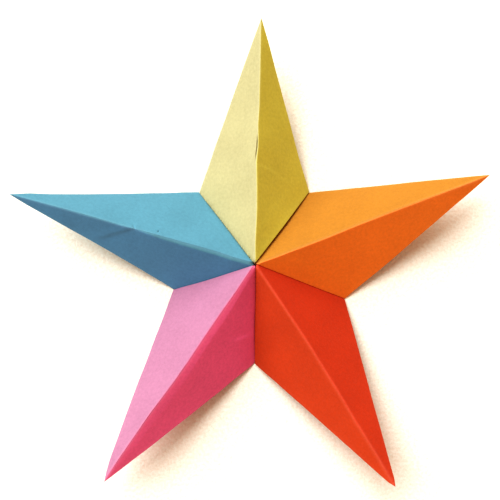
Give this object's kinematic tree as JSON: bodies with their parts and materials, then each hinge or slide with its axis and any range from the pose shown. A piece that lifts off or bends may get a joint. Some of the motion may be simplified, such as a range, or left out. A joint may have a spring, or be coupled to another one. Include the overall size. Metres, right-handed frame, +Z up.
{
  "type": "modular origami star",
  "caption": "Pointed star folded from coloured paper squares, one kite-shaped unit to each ridged point, each unit's tab tucked in the pocket of the next.",
  "frame": {"origin": "on the plane that the star rests on, below the middle where the five ridges meet", "axes": "+Z up, out of the star's ridged face; +Y towards the yellow tip"},
  "size_m": [0.1789, 0.1747, 0.0202],
  "materials": {
    "yellow_paper": "matt pale yellow craft paper",
    "orange_paper": "matt orange craft paper",
    "red_paper": "matt red craft paper",
    "pink_paper": "matt pink craft paper",
    "blue_paper": "matt sky blue craft paper"
  },
  "bodies": {
    "root": {"yellow_unit": "yellow_paper", "orange_unit": "orange_paper", "red_unit": "red_paper", "pink_unit": "pink_paper", "blue_unit": "blue_paper"}
  },
  "joints": []
}
